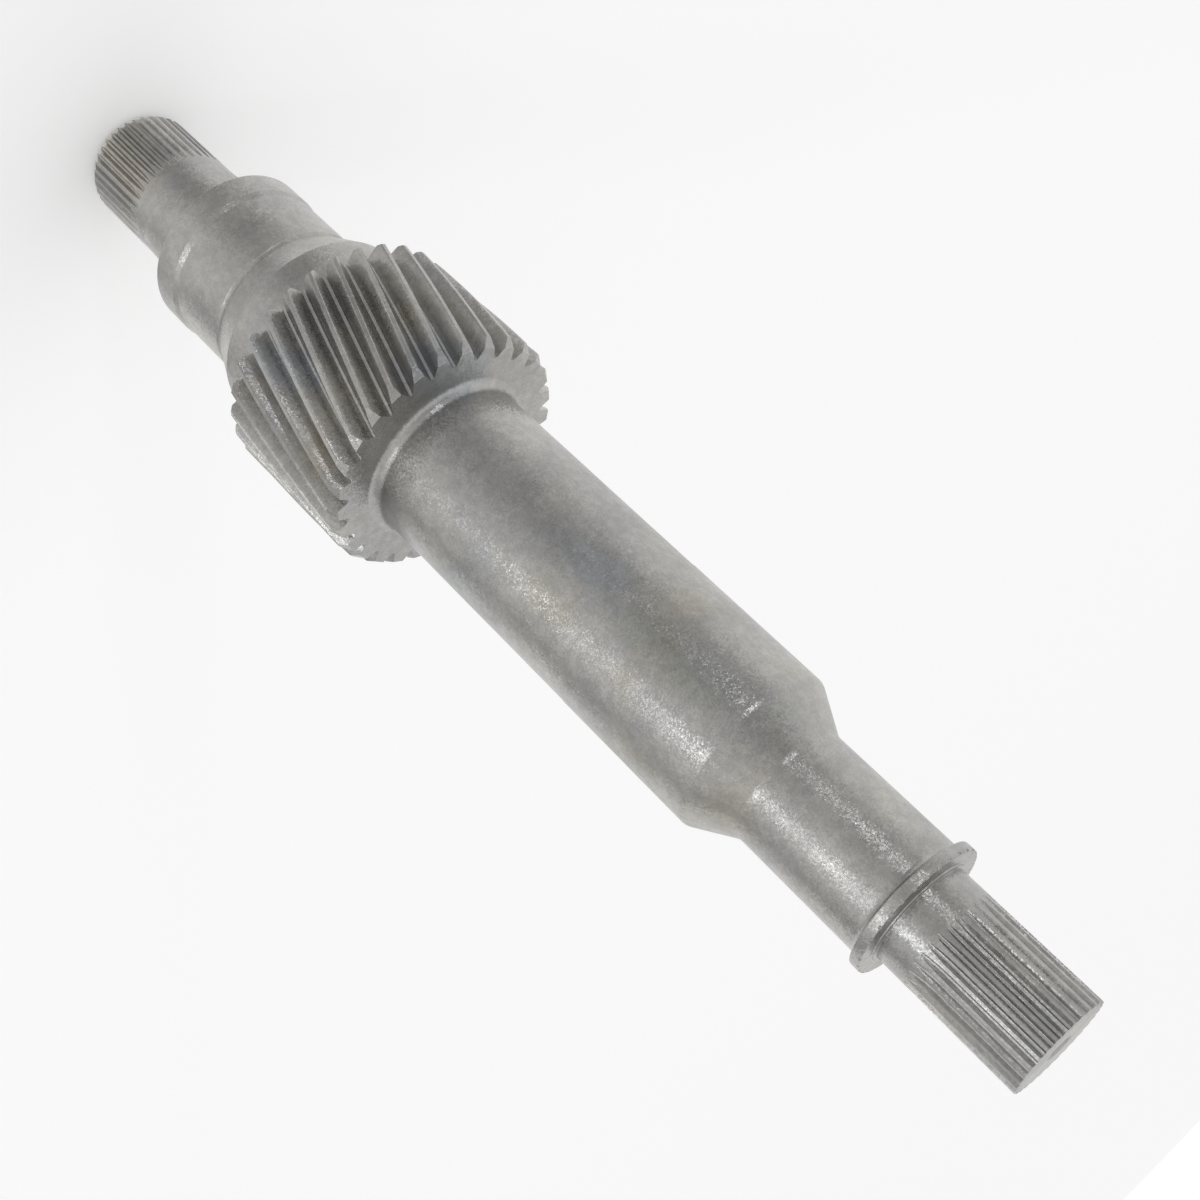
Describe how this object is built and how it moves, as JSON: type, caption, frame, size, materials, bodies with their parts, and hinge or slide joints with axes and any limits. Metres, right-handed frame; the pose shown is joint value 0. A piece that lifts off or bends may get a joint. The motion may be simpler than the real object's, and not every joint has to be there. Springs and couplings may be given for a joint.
{
  "type": "splined shaft",
  "caption": "One-piece steel gear shaft with a right-hand helical pinion, splines on both ends, a bearing land, a long ground body and a thin stop collar.",
  "frame": {"origin": "centre of the far end face, which the shaft stands on", "axes": "+Z along the shaft axis from the pinion-side end up to the output spline; +X through a land of both splines"},
  "size_m": [0.0652, 0.0651, 0.3253],
  "materials": {
    "steel": "ground and turned steel, satin, lightly stained"
  },
  "bodies": {
    "root": {"splined_shaft": "steel"}
  },
  "joints": []
}
